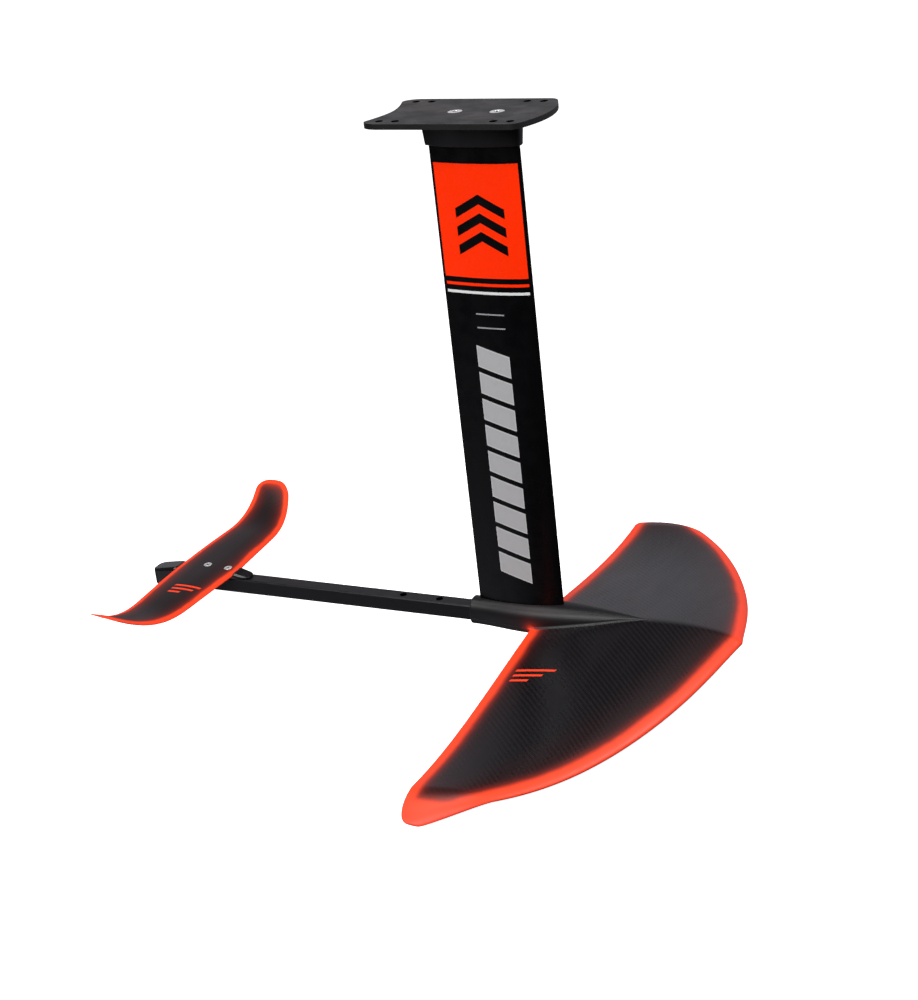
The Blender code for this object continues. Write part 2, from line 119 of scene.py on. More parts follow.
def extruded(name, outlines, low, high):
    """A flat outline, with any holes inside it, raised from z = low to z = high."""
    curve = bpy.data.curves.new(name, "CURVE")
    curve.dimensions = "2D"
    curve.fill_mode = "BOTH"
    curve.extrude = (high - low) / 2
    for outline in outlines:
        spline = curve.splines.new("POLY")
        spline.points.add(len(outline) - 1)
        for point, (x, y) in zip(spline.points, outline):
            point.co = (x, y, 0.0, 1.0)
        spline.use_cyclic_u = True
    flat = linked(name + "_outline", curve)
    flat.location.z = (low + high) / 2
    mesh = evaluated_mesh(flat)
    bm = bmesh.new()
    bm.from_mesh(mesh)
    bm.transform(flat.matrix_world)
    bmesh.ops.remove_doubles(bm, verts=bm.verts, dist=0.000001)
    bpy.data.objects.remove(flat, do_unlink=True)
    bpy.data.meshes.remove(mesh)
    return from_bmesh(name, bm)


def turned(name, profile, x, steps=72, y=0.0):
    """A solid of revolution about a vertical axis, from (radius, z) pairs."""
    bm = bmesh.new()
    points = [bm.verts.new((radius, 0.0, z)) for radius, z in profile]
    edges = [bm.edges.new(pair) for pair in zip(points, points[1:])]
    bmesh.ops.spin(bm, geom=points + edges, cent=(0, 0, 0), axis=(0, 0, 1),
                   angle=math.tau, steps=steps)
    bmesh.ops.remove_doubles(bm, verts=bm.verts, dist=0.000002)
    bmesh.ops.translate(bm, verts=bm.verts, vec=(x, y, 0.0))
    return from_bmesh(name, bm)


def baked(obj):
    """Replaces the mesh with what its modifiers make of it."""
    mesh = evaluated_mesh(obj)
    obj.modifiers.clear()
    old = obj.data
    obj.data = mesh
    bpy.data.meshes.remove(old)


def boolean(obj, other, operation):
    step = obj.modifiers.new("boolean", "BOOLEAN")
    step.operation = operation
    step.solver = "EXACT"
    step.object = other
    baked(obj)
    spent = other.data
    bpy.data.objects.remove(other, do_unlink=True)
    bpy.data.meshes.remove(spent)


def joined(obj, *others):
    for other in others:
        boolean(obj, other, "UNION")


def cut(obj, *cutters):
    for cutter in cutters:
        boolean(obj, cutter, "DIFFERENCE")


def bevelled(obj, width, segments, angle):
    step = obj.modifiers.new("edge", "BEVEL")
    step.width = width
    step.segments = segments
    step.limit_method = "ANGLE"
    step.angle_limit = math.radians(angle)
    baked(obj)


def smooth(obj, angle, weighted=False):
    """Smooth shading with creases kept. Weighted normals keep big faces flat."""
    bm = bmesh.new()
    bm.from_mesh(obj.data)
    bmesh.ops.remove_doubles(bm, verts=bm.verts, dist=0.000001)
    bmesh.ops.recalc_face_normals(bm, faces=bm.faces)
    bm.to_mesh(obj.data)
    bm.free()
    obj.data.shade_smooth()
    obj.data.set_sharp_from_angle(angle=math.radians(angle))
    if weighted:
        step = obj.modifiers.new("flat_faces", "WEIGHTED_NORMAL")
        step.keep_sharp = True
        step.weight = 90
    return obj


def stands_for(piece, node, material):
    """Puts a fine piece in a node's place."""
    piece.data.materials.clear()
    piece.data.materials.append(material)
    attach(piece, "root")
    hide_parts(node)


def mark_painted_hole_shade(obj, places, radius, ends):
    """Marks the faces inside round holes, so that their walls can be painted near black as shade.
    """
    low, high = sorted(ends)
    values = obj.data.attributes.new("hollow", "FLOAT", "FACE")
    for face, value in zip(obj.data.polygons, values.data):
        at = face.center
        near = any(math.hypot(at.x - x, at.y - y) < radius for x, y in places)
        value.value = float(near and low < at.z < high)


def attribute(obj, name, value_at):
    values = obj.data.attributes.new(name, "FLOAT", "POINT")
    for vert, value in zip(obj.data.vertices, values.data):
        value.value = value_at(vert.co)


# -------- shape formulas


def blend(a, b, t):
    t = max(0.0, min(1.0, t))
    return a + (b - a) * t * t * (3 - 2 * t)


def bezier(p0, p1, p2, p3, count):
    points = []
    for i in range(1, count):
        t = i / count
        s = 1 - t
        weights = (s * s * s, 3 * s * s * t, 3 * s * t * t, t * t * t)
        points.append(
            tuple(sum(w * p[k] for w, p in zip(weights, (p0, p1, p2, p3))) for k in (0, 1))
        )
    return points


def both_sides(half):
    """An outline from its starboard half, nose to tail, mirrored to port."""
    return half + [(x, -y) for x, y in reversed(half) if abs(y) > 1e-7]


def circle(x, radius, count=48):
    return [(x + radius * math.cos(math.tau * i / count),
             radius * math.sin(math.tau * i / count)) for i in range(count)]


def arc(steps):
    """Angles over a quarter turn."""
    return [math.pi / 2 * i / steps for i in range(steps + 1)]


def foil_half(le, te, thick, te_thick, count, fullness, peak):
    """Half of a mast-like section: a rounded nose, then a taper to a blunt tail."""
    x_peak = le - peak * (le - te)
    half = []
    for a in arc(count)[:-1]:
        share = math.cos(a) ** (2 / fullness)
        half.append((x_peak + (le - x_peak) * share, -thick / 2 * math.sin(a) ** (2 / fullness)))
    for i in range(count + 1):
        u = i / count
        y = te_thick / 2 + (thick - te_thick) / 2 * (1 - u * u)
        half.append((x_peak + (te - x_peak) * u, -y))
    return half


# -------- materials


class Steps:
    """Small steps for building a node tree. A value may be a number or a socket."""

    def __init__(self, tree):
        self.tree = tree

    def put(self, socket, value):
        if isinstance(value, bpy.types.NodeSocket):
            self.tree.links.new(value, socket)
        else:
            socket.default_value = value

    def node(self, kind, inputs=None, **settings):
        made = self.tree.nodes.new("ShaderNode" + kind)
        for key, value in settings.items():
            setattr(made, key, value)
        for key, value in (inputs or {}).items():
            self.put(made.inputs[key], value)
        return made

    def maths(self, operation, a, b=0.0, c=0.0):
        return self.node("Math", {0: a, 1: b, 2: c}, operation=operation).outputs[0]

    def times(self, a, b):
        return self.maths("MULTIPLY", a, b)

    def plus(self, a, b):
        return self.maths("ADD", a, b)

    def rest(self, share):
        """What is left of one when a share of it is taken."""
        return self.maths("SUBTRACT", 1.0, share)

    def spread(self, value, low, high, to_low=0.0, to_high=1.0, kind="LINEAR"):
        """Maps low..high to to_low..to_high and holds the ends."""
        made = self.node("MapRange", {"Value": value, "From Min": low, "From Max": high,
                                      "To Min": to_low, "To Max": to_high},
                         interpolation_type=kind)
        return made.outputs["Result"]

    def split(self, vector):
        return self.node("SeparateXYZ", {0: vector}).outputs


class Look(Steps):
    """A Principled material built up from small node steps."""

    def __init__(self, name, roughness, metallic=0.0, specular=0.5):
        self.material = bpy.data.materials.new(name)
        self.material.use_nodes = True
        super().__init__(self.material.node_tree)
        self.shader = self.tree.nodes["Principled BSDF"]
        self.set("Roughness", roughness)
        self.set("Metallic", metallic)
        self.set("Specular IOR Level", specular)
        self.object_place = self.node("TexCoord").outputs["Object"]
        self.x, self.y, self.z = self.split(self.object_place)

    def set(self, socket, value):
        self.put(self.shader.inputs[socket], value)

    def mix(self, factor, a, b, blend_type="MIX"):
        made = self.node("Mix", data_type="RGBA", blend_type=blend_type)
        for socket, value in zip((made.inputs[0], made.inputs[6], made.inputs[7]), (factor, a, b)):
            self.put(socket, value)
        return made.outputs[2]

    def shaded(self, colour, tone):
        """A colour made lighter or darker by a factor near one."""
        grey = self.node("CombineColor", {0: tone, 1: tone, 2: tone}).outputs[0]
        return self.mix(1.0, colour, grey, "MULTIPLY")

    def noise(self, scale, detail, rough=0.5, stretch=(1, 1, 1), warp=0.0):
        place = self.node("Mapping", {"Vector": self.object_place, "Scale": stretch}).outputs[0]
        made = self.node("TexNoise", {"Vector": place, "Scale": scale, "Detail": detail,
                                                "Roughness": rough, "Distortion": warp})
        return made.outputs["Fac"]

    def patchy(self, noise, low, high):
        """A noise that wanders from low to high."""
        return self.spread(noise, 0.3, 0.7, low, high)

    def facing_up(self, low, high):
        """Nothing on steep faces, and one on faces that look up."""
        normal = self.node("NewGeometry").outputs["Normal"]
        return self.spread(self.split(normal)[2], low, high)

    def band(self, value, low, high, soft=0.00015):
        """One between low and high, falling to nothing over a soft edge."""
        return self.times(self.spread(value, low - soft, low + soft),
                          self.spread(value, high - soft, high + soft, 1.0, 0.0))

    def falloff(self, value, middle_stops):
        """Falls smoothly from one at 0 to nothing at 1, by way of (place, height) stops."""
        stops = [(0.0, 1.0), *middle_stops, (1.0, 0.0)]
        made = self.node("ValToRGB", {"Fac": value})
        made.color_ramp.interpolation = "CARDINAL"
        elements = made.color_ramp.elements
        while len(elements) < len(stops):
            elements.new(0.5)
        for element, (place, height) in zip(elements, stops):
            element.position = place
            element.color = (height, height, height, 1.0)
        return made.outputs["Color"]

    def attribute(self, name):
        return self.node("Attribute", attribute_name=name).outputs["Fac"]

    def bump(self, height, distance, strength):
        made = self.node("Bump", {"Height": height, "Distance": distance,
                                            "Strength": strength})
        self.set("Normal", made.outputs["Normal"])


BLACK_PAINT = (0.0020, 0.0020, 0.0024, 1.0)
# Near black painted on the walls of holes and sockets: painted shade, where little light reaches
PAINTED_HOLE_SHADE = (0.0010, 0.0010, 0.0010, 1.0)
PAINTED_SOCKET_SHADE = (0.0020, 0.0020, 0.0020, 1.0)
ORANGE = (0.98, 0.054, 0.011, 1.0)
ORANGE_DEEP = (0.93, 0.036, 0.006, 1.0)
SILVER = (0.45, 0.45, 0.46, 1.0)
WHITE = (0.80, 0.80, 0.80, 1.0)
WING_BAR_HALF = 0.0018
WING_BAR_LEAN = 0.35


def weave(look, tow, turn, flip):
    """A 2 by 2 twill: which tow lies on top, and how round it is there."""
    turned_place = look.node("Mapping", {"Vector": look.object_place,
                             "Rotation": (0.0, 0.0, turn), "Scale": (1 / tow, flip / tow, 1.0)})
    u, v, _ = look.split(turned_place.outputs[0])
    cell = look.plus(look.maths("FLOOR", u), look.maths("FLOOR", v))
    phase = look.maths("FLOORED_MODULO", cell, 4.0)
    warp = look.maths("LESS_THAN", phase, 2.0)
    across_u = look.maths("PINGPONG", u, 0.5)
    across_v = look.maths("PINGPONG", v, 0.5)
    gap = look.maths("SUBTRACT", across_u, across_v)
    height = look.maths("MULTIPLY_ADD", warp, gap, across_v)
    return warp, look.spread(height, 0.0, 0.5, 0.0, 1.0, "SMOOTHSTEP")


def carbon(name, tint, tow, turn, flip, contrast, bands, bars, specular, gloss):
    """Lacquered twill with its edges sprayed orange, and plain bars on its upper face."""
    look = Look(name, 0.34, 0.0, specular)
    warp, crown = weave(look, tow, turn, flip)
    drift = look.spread(look.noise(26.0, 2.0), 0.2, 0.8, -0.0012, 0.0012)
    speck = look.spread(look.noise(1500.0, 2.0), 0.2, 0.8, -0.0011, 0.0011)
    wander = look.plus(drift, speck)
    bare = 1.0
    for edge, reach, stops in bands:
        far = look.maths("DIVIDE", look.plus(look.attribute(edge), wander), reach)
        bare = look.times(bare, look.rest(look.falloff(far, stops)))
    painted = look.rest(bare)
    above = look.facing_up(0.3, 0.5)
    rear_end, marks = bars
    for y, front_end in marks:
        leaning = look.maths("MULTIPLY_ADD", look.y, -WING_BAR_LEAN, look.x)
        shift = WING_BAR_LEAN * y
        mark = look.times(look.band(look.y, y - WING_BAR_HALF, y + WING_BAR_HALF),
                          look.band(leaning, rear_end - shift, front_end - shift))
        painted = look.maths("MAXIMUM", painted, look.times(mark, above))
    cover = look.maths("MAXIMUM", look.spread(painted, 0.0, 0.35), look.attribute("collar"))
    open_cloth = look.rest(cover)
    # Weave tone: warp tows lighter than weft tows and each tow darker towards its edges, partly the
    # twill's pattern and partly painted sheen and painted shade
    light = look.maths("MULTIPLY_ADD", warp, 2 * contrast, 1 - contrast)
    light = look.times(light, look.spread(crown, 0.0, 1.0, 0.94, 1.04))
    light = look.maths("MULTIPLY_ADD", look.maths("SUBTRACT", light, 1.0), open_cloth, 1.0)
    mottle = look.patchy(look.noise(9.0, 4.0), 0.93, 1.08)
    cloth = look.shaded(tint, look.times(light, mottle))
    streak = look.patchy(look.noise(60.0, 3.0), 0.0, 0.12)
    look.set("Base Color", look.mix(painted, cloth, look.mix(streak, ORANGE, ORANGE_DEEP)))
    smear = look.noise(34.0, 4.0, 0.6, (1.0, 0.25, 1.0))
    rough = look.maths("MULTIPLY_ADD", cover, 0.18, look.spread(smear, 0.25, 0.75, *gloss))
    woven = look.times(warp, open_cloth)
    look.set("Roughness", look.maths("MULTIPLY_ADD", woven, 0.05, rough))
    ribs = look.times(crown, open_cloth)
    look.bump(look.maths("MULTIPLY_ADD", look.noise(900.0, 1.0), 0.15, ribs), 0.00005, 0.28)
    return look.material


def anodised(name, base, roughness, specular, grain):
    """Satin anodised extrusion with fine die lines along its length and light rubbing."""
    look = Look(name, roughness, 0.0, specular)
    lines = look.noise(520.0, 3.0, 0.6, grain)
    cloudy = look.noise(16.0, 4.0, 0.55)
    tone = look.times(look.patchy(lines, 0.86, 1.14), look.patchy(cloudy, 0.88, 1.12))
    # Hole walls: painted shade, near black, with metallic set to one there so that they reflect
    # almost nothing
    hollow = look.attribute("hollow")
    look.set("Base Color", look.mix(hollow, look.shaded(base, tone), PAINTED_HOLE_SHADE))
    look.set("Metallic", hollow)
    look.set("Roughness", look.patchy(look.noise(70.0, 4.0), roughness - 0.05, roughness + 0.08))
    look.bump(lines, 0.00002, 0.3)
    return look


def plate_finish():
    """Hard black surface, mottled by handling, with pale smudges and short scratches, and sides
    painted darker than its top as painted shade.
    """
    look = Look("plate_hard_black", 0.5, 0.0, 0.35)
    base = (0.0180, 0.0172, 0.0182, 1.0)
    cloud = look.spread(look.noise(26.0, 5.0, 0.6, (1.0, 1.4, 1.0), 0.4), 0.32, 0.68, 0.52, 1.42)
    pores = look.patchy(look.noise(480.0, 3.0, 0.6), 0.76, 1.26)
    # face is one on the top and nothing on the sides: the sides get a darker base as painted shade,
    # and only the top takes dust and scratches
    face = look.facing_up(0.6, 0.9)
    metal = look.shaded(look.mix(face, (0.0040, 0.0038, 0.0044, 1.0), base),
                        look.times(cloud, pores))
    dust = look.spread(look.noise(17.0, 4.0, 0.55, (1.0, 1.7, 1.0), 0.8), 0.50, 0.72, 0.0, 0.55)
    scratch = look.spread(look.noise(120.0, 2.0, 0.5, (0.25, 3.0, 1.0), 0.3), 0.66, 0.74, 0.0, 0.65)
    tan = (0.034, 0.027, 0.019, 1.0)
    smudged = look.mix(look.times(dust, face), metal, tan)
    pale = (0.052, 0.050, 0.047, 1.0)
    worn = look.mix(look.times(scratch, face), smudged, pale)
    # Bolt hole walls: painted shade, near black, with metallic set to one there so that they
    # reflect almost nothing
    hollow = look.attribute("hollow")
    look.set("Base Color", look.mix(hollow, worn, PAINTED_HOLE_SHADE))
    look.set("Metallic", hollow)
    look.set("Roughness", look.spread(cloud, 0.6, 1.3, 0.58, 0.44))
    look.bump(look.noise(1400.0, 2.0), 0.00003, 0.5)
    return look.material


def mast_finish():
    """The mast's anodising with its printed panel, stripes, chevrons and slanted bars."""
    look = anodised("mast_printed_black", (0.0014, 0.0013, 0.0017, 1.0), 0.27, 0.18,
                    (1.0, 1.0, 0.01))
    bare = look.shader.inputs["Base Color"].links[0].from_socket
    panel = look.times(look.band(look.x, *PANEL_X), look.band(look.z, *PANEL_Z))
    full = look.band(look.x, PANEL_X[0] + 0.0006, PANEL_X[1])
    stripe = look.times(full, look.band(look.z, *ORANGE_STRIPE_Z))
    tone = look.patchy(look.noise(6.0, 2.0), 0.0, 0.5)
    ink = look.mix(tone, (0.96, 0.026, 0.0010, 1.0), (0.97, 0.032, 0.0020, 1.0))
    # Where the orange ink is printed; the same mask also drives the ink's painted glow
    ink_and_painted_glow = look.maths("MAXIMUM", panel, stripe)
    colour = look.mix(ink_and_painted_glow, bare, ink)
    pale = look.times(full, look.band(look.z, *WHITE_STRIPE_Z))
    colour = look.mix(pale, colour, WHITE)
    aside = look.maths("ABSOLUTE", look.maths("SUBTRACT", look.x, EMBLEM[0]))
    drop = look.plus(look.maths("SUBTRACT", look.z, EMBLEM[1]), look.times(aside, 0.55))
    within = look.spread(aside, CHEVRON_HALF - 0.0002, CHEVRON_HALF + 0.0002, 1.0, 0.0)
    for level in (-1, 0, 1):
        centre = level * CHEVRON_PITCH
        bar = look.band(drop, centre - CHEVRON_THICK / 2, centre + CHEVRON_THICK / 2)
        mark = look.times(bar, within)
        colour = look.mix(mark, colour, BLACK_PAINT)
        ink_and_painted_glow = look.times(ink_and_painted_glow, look.rest(mark))
    for z in CAPTION_Z:
        line = look.times(look.band(look.x, *CAPTION_X), look.band(look.z, z - 0.0008, z + 0.0008))
        colour = look.mix(line, colour, (0.34, 0.34, 0.35, 1.0))
    lean = look.maths("MULTIPLY_ADD", look.x, BAR_LEAN, look.z)
    count = look.maths("DIVIDE", look.maths("SUBTRACT", lean, BARS_Z[0]),
                       (BARS_Z[1] - BARS_Z[0]) / BAR_COUNT)
    inside = look.band(count, 0.0, float(BAR_COUNT), 0.01)
    share = look.maths("FRACT", count)
    solid = look.band(share, 0.10, 0.90, 0.012)
    rim = look.band(share, 0.14, 0.86, 0.012)
    edge_x = look.band(look.x, *BARS_X)
    core_x = look.band(look.x, BARS_X[0] + 0.0009, BARS_X[1] - 0.0009)
    bars = look.times(look.times(solid, edge_x), inside)
    core = look.times(look.times(rim, core_x), inside)
    foil = look.mix(core, (0.60, 0.60, 0.61, 1.0), SILVER)
    look.set("Base Color", look.mix(bars, colour, foil))
    # The orange ink has a painted glow: it sends out a little red light of its own, beyond what
    # falls on it
    look.set("Emission Color", (1.0, 0.03, 0.0, 1.0))
    look.set("Emission Strength", look.times(ink_and_painted_glow, 0.16))
    return look.material


def steel_finish():
    """Turned stainless steel: fine rings about each piece's own axis, and painted shade, near
    black, in its socket.
    """
    look = Look("turned_stainless", 0.30, 0.80)
    rings = look.node("TexNoise", {"W": look.attribute("radius"), "Scale": 5200.0,
                                             "Detail": 2.0}, noise_dimensions="1D").outputs["Fac"]
    steel = look.shaded((0.93, 0.92, 0.91, 1.0), look.patchy(rings, 0.88, 1.0))
    # The socket's walls: painted shade, near black
    look.set("Base Color", look.mix(look.attribute("hollow"), steel, PAINTED_SOCKET_SHADE))
    look.set("Roughness", look.patchy(look.noise(300.0, 3.0), 0.24, 0.40))
    look.bump(rings, 0.00001, 0.4)
    return look.material


def gloss_finish():
    """Gloss black moulding with faint flow marks."""
    look = Look("cradle_gloss_black", 0.2)
    flow = look.noise(55.0, 3.0, 0.5, (0.5, 1.0, 1.0))
    look.set("Base Color", look.shaded((0.0050, 0.0050, 0.0055, 1.0), look.patchy(flow, 0.8, 1.2)))
    look.set("Roughness", look.patchy(look.noise(160.0, 4.0), 0.16, 0.28))
    look.bump(flow, 0.0002, 0.25)
    return look.material


def insert_finish():
    """Plain steel of the threaded inserts."""
    look = Look("insert_steel", 0.35, 1.0)
    tone = look.patchy(look.noise(900.0, 3.0, 0.6, (1.0, 1.0, 8.0)), 0.75, 1.0)
    look.set("Base Color", look.shaded((0.56, 0.55, 0.53, 1.0), tone))
    look.set("Roughness", look.patchy(look.noise(500.0, 2.0), 0.28, 0.45))
    return look.material


PANEL_X = (-0.0578, 0.0445)
PANEL_Z = (-0.1855, -0.0560)
ORANGE_STRIPE_Z = (-0.1951, -0.1917)
WHITE_STRIPE_Z = (-0.2044, -0.2012)
EMBLEM = (-0.0050, -0.1165)
CHEVRON_HALF = 0.0300
CHEVRON_PITCH = 0.0210
CHEVRON_THICK = 0.0110
CAPTION_X = (-0.0227, 0.0123)
CAPTION_Z = (-0.2278, -0.2440)
BARS_X = (-0.0268, 0.0136)
BARS_Z = (-0.5600, -0.2700)
BAR_COUNT = 9
BAR_LEAN = 0.30

# -------- top plate

PLATE_CORNER_Y = 0.044
PLATE_HOLLOW = 0.0105
PLATE_FRONT_Y = 0.0465
PLATE_BOW = 5.0  # x falls by this times y squared
BOARD_BOLTS = [(x, y) for x in (-0.0945, -0.0750, 0.0410, 0.0605) for y in (-0.045, 0.045)]
BOARD_BOLT_HOLE = 0.0085


def plate_outline():
    wide, front, rear = PLATE_HIGH.y, PLATE_HIGH.x, PLATE_LOW.x
    front_x = front - PLATE_BOW * PLATE_FRONT_Y**2
    half = []
    for i in range(25):
        y = PLATE_FRONT_Y * i / 24
        half.append((front - PLATE_BOW * y * y, -y))
    half += bezier((front_x, -PLATE_FRONT_Y), (front_x - 0.0028, -PLATE_FRONT_Y - 0.0060),
                   (front_x - 0.0060, -wide), (front_x - 0.0140, -wide), 18)
    half.append((front_x - 0.0140, -wide))
    half.append((-0.0925, -wide))
    half += bezier((-0.0925, -wide), (-0.1030, -wide),
                   (rear - 0.0022, -PLATE_CORNER_Y - 0.0082), (rear, -PLATE_CORNER_Y), 20)
    for i in range(33):
        y = PLATE_CORNER_Y * (32 - i) / 32
        half.append((rear + PLATE_HOLLOW * (1 - (y / PLATE_CORNER_Y) ** 1.7), -y))
    return both_sides(half)


def bore(name, x, radius, top, low, y=0.0, chamfer=0.0003):
    """A cutter for a through hole with both its rims eased."""
    flare = radius + chamfer + 0.002
    profile = [(0.0, top + 0.002), (flare, top + 0.002), (radius, top - chamfer),
               (radius, low + chamfer), (flare, low - 0.002), (0.0, low - 0.002)]
    return turned(name, profile, x, 56, y)


def rod(name, x, radius, top, low, steps=72):
    return turned(name, [(0.0, top), (radius, top), (radius, low), (0.0, low)], x, steps)


def countersink(name, x, head, shank, top, depth, low, up=1):
    """A cutter for a countersunk screw. up = -1 turns it over, with its head below."""
    slope = head - shank
    profile = [(0.0, top + up * 0.004), (head, top + up * 0.004), (head, top - up * depth),
               (shank, top - up * (depth + slope)), (shank, low), (0.0, low)]
    return turned(name, profile, x)


def make_plate():
    plate = extruded("top_plate_fine", [plate_outline()], PLATE_LOW.z, 0.0)
    bevelled(plate, 0.0010, 4, 60)
    for x, y in BOARD_BOLTS:
        cut(plate, bore("board_bore", x, BOARD_BOLT_HOLE / 2, 0.0, PLATE_LOW.z, y))
    for x in MAST_SCREW_X:
        cut(plate, countersink("plate_sink", x, 0.0087, 0.0043, 0.0, 0.0008, -0.012))
    smooth(plate, 38, True)
    mark_painted_hole_shade(plate, BOARD_BOLTS, BOARD_BOLT_HOLE / 2 + 0.0006, (PLATE_LOW.z, 0.001))
    stands_for(plate, "top_plate", plate_finish())


# -------- head block and mast

BLOCK_DRAFT = 0.0030
BLOCK_THICK = 0.0256
MAST_TE_THICK = 0.0018
MAST_WALL = 0.0019
CHANNEL_RADIUS = 0.0053
MAST_THICK = MAST_HIGH.y - MAST_LOW.y
MAST_PEAK = 0.38  # where the mast is thickest, as a share of its chord


def mast_outline(grow=0.0):
    return both_sides(foil_half(MAST_HIGH.x + grow, MAST_LOW.x - grow, MAST_THICK + 2 * grow,
                                MAST_TE_THICK + 2 * grow, 40, 2.0, MAST_PEAK))


def block_ring(grow, z):
    le, te = BLOCK_HIGH.x - BLOCK_DRAFT, BLOCK_LOW.x + BLOCK_DRAFT
    half = foil_half(le + grow, te - grow, BLOCK_THICK + 2 * grow, 0.004, 36, 3.2, 0.55)
    return [(x, y, z) for x, y in both_sides(half)]


def make_head_block(finish):
    rounding = 0.0012
    rings = [block_ring(-rounding * (1 - math.sin(a)), BLOCK_LOW.z + rounding * (1 - math.cos(a)))
             for a in arc(4)]
    for i in range(1, 7):
        share = i / 6
        z = BLOCK_LOW.z + rounding + (BLOCK_HIGH.z - BLOCK_LOW.z - rounding) * share
        rings.append(block_ring(BLOCK_DRAFT * share, z))
    block = loft("head_block_fine", rings)
    cut(block, extruded("pocket", [mast_outline(GAP)], BLOCK_LOW.z - 0.008, MAST_HIGH.z + GAP))
    for x in MAST_SCREW_X:
        cut(block, bore("block_bore", x, 0.0043, BLOCK_HIGH.z, MAST_HIGH.z, 0.0, 0.0002))
    stands_for(smooth(block, 38, True), "head_block", finish)


def mast_half_thickness(x):
    x_peak = MAST_HIGH.x - MAST_PEAK * (MAST_HIGH.x - MAST_LOW.x)
    if x > x_peak:
        share = (x - x_peak) / (MAST_HIGH.x - x_peak)
        return MAST_THICK / 2 * math.sqrt(max(0.0, 1 - share * share))
    u = (x_peak - x) / (x_peak - MAST_LOW.x)
    return MAST_TE_THICK / 2 + (MAST_THICK - MAST_TE_THICK) / 2 * (1 - u * u)


def chamber(x_low, x_high, count=10):
    """A hollow in the extrusion between two webs, following the skin."""
    lower = []
    for i in range(count + 1):
        x = x_low + (x_high - x_low) * i / count
        lower.append((x, -(mast_half_thickness(x) - MAST_WALL)))
    return lower + [(x, -y) for x, y in reversed(lower)]


def make_mast():
    chambers = [chamber(-0.0440, -0.0330), chamber(-0.0170, -0.0040),
                chamber(0.0010, 0.0170), chamber(0.0330, 0.0420)]
    channels = [circle(x, CHANNEL_RADIUS) for x in MAST_SCREW_X]
    mast = extruded("mast_fine", [mast_outline(), *chambers, *channels], MAST_LOW.z, MAST_HIGH.z)
    stands_for(smooth(mast, 38), "mast", mast_finish())


# -------- fuselage bar

BAR_CHAMFER = 0.0014
BAR_HOLES_X = (-0.1672, -0.1175)


def bar_ring(x, grow=0.0):
    wide, top, low, c = BAR_HIGH.y + grow, BAR_HIGH.z + grow, BAR_LOW.z - grow, BAR_CHAMFER
    corners = [(wide, top - c), (wide - c, top), (-wide + c, top), (-wide, top - c),
               (-wide, low + c), (-wide + c, low), (wide - c, low), (wide, low + c)]
    return [(x, y, z) for y, z in corners]


def make_bar(finish):
    bar = loft("fuselage_bar_fine", [bar_ring(BAR_LOW.x), bar_ring(BAR_HIGH.x)])
    bevelled(bar, 0.0005, 3, 30)
    for x in (*MAST_SCREW_X, *BAR_HOLES_X):
        cut(bar, bore("bar_bore", x, 0.0043, BAR_HIGH.z, BAR_LOW.z, 0.0, 0.0004))
    for x in WING_SCREW_X:
        cut(bar, rod("bar_tap", x, 0.0033, BAR_HIGH.z - 0.004, BAR_LOW.z - 0.002, 48))
    for x in REAR_SCREW_X:
        cut(bar, bore("insert_bore", x, 0.0041, BAR_HIGH.z, BAR_LOW.z, 0.0, 0.0002))
    smooth(bar, 25, True)
    mark_painted_hole_shade(bar, [(x, 0.0) for x in BAR_HOLES_X], 0.0048, (BAR_LOW.z, BAR_HIGH.z + 0.001))
    stands_for(bar, "fuselage_bar", finish)


# -------- wings

FRONT = {
    "half_span": 0.380,
    "le": (0.2663, 0.2453, 0.2406, 0.1756, 0.1799, 0.0379),
    "te": (0.0121, 0.0097, 0.0066, 0.0073, 0.0073, 0.0073),
    "line": (-0.6129, -0.6306, -0.6592, -0.6387),
    "bend": (0.8823, -0.0216, 1.55),
    "twist": (0.0004, 0.0021),
    "tip": (0.8787, 0.7431, 4.7),
    "camber": 0.0215,
    "thick": 0.0894,
    "tail": 0.0007,
}
REAR = {
    "half_span": 0.210,
    "le": (-0.4065, -0.4103, -0.4145, -0.4157, -0.4462),
    "te": (-0.4896, -0.489, -0.4862, -0.4811, -0.4914),
    "line": (-0.5948, -0.5944, -0.6025),
    "bend": (0.504, 0.0413, 2.38),
    "twist": (0.0028, 0.0058),
    "tip": (0.915, 0.68, 2.2),
    "camber": 0.0265,
    "thick": 0.0900,
    "tail": 0.0006,
}


def along(controls, e):
    """A Bezier curve with evenly spaced controls, read at e of the half span."""
    last = len(controls) - 1
    return sum(math.comb(last, k) * e**k * (1 - e) ** (last - k) * value
               for k, value in enumerate(controls))


def spine(wing, e):
    """Height of the leading edge at e of the half span. Past the bend the tip turns."""
    start, rise, power = wing["bend"]
    over = max(0.0, (e - start) / (1 - start))
    return along(wing["line"], e) + rise * over**power


def airfoil(s, camber, thick):
    """Height of the camber line and half thickness, as shares of the chord."""
    half = 5 * thick * (0.2969 * math.sqrt(s) - 0.1260 * s - 0.3516 * s**2
                        + 0.2843 * s**3 - 0.1036 * s**4)
    p = 0.42
    if s < p:
        line = camber / p**2 * (2 * p * s - s * s)
    else:
        line = camber / (1 - p) ** 2 * (1 - 2 * p + 2 * p * s - s * s)
    return line, half


def station(wing, e):
    """Both edges, fullness, slope of the spine and twist at e of the half span."""
    start, mid, power = wing["tip"]
    le, te = along(wing["le"], e), along(wing["te"], e)
    over = max(0.0, (e - start) / (1 - start))
    full = (1 - min(over, 1.0) ** power) ** (1 / power)
    centre = te + mid * (le - te)
    step = 0.004
    far, near = min(e + step, 1.0), max(e - step, 0.0)
    slope = (spine(wing, far) - spine(wing, near)) / ((far - near) * wing["half_span"])
    twist = along(wing["twist"], e) * full
    return centre + (le - centre) * full, centre + (te - centre) * full, full, slope, twist


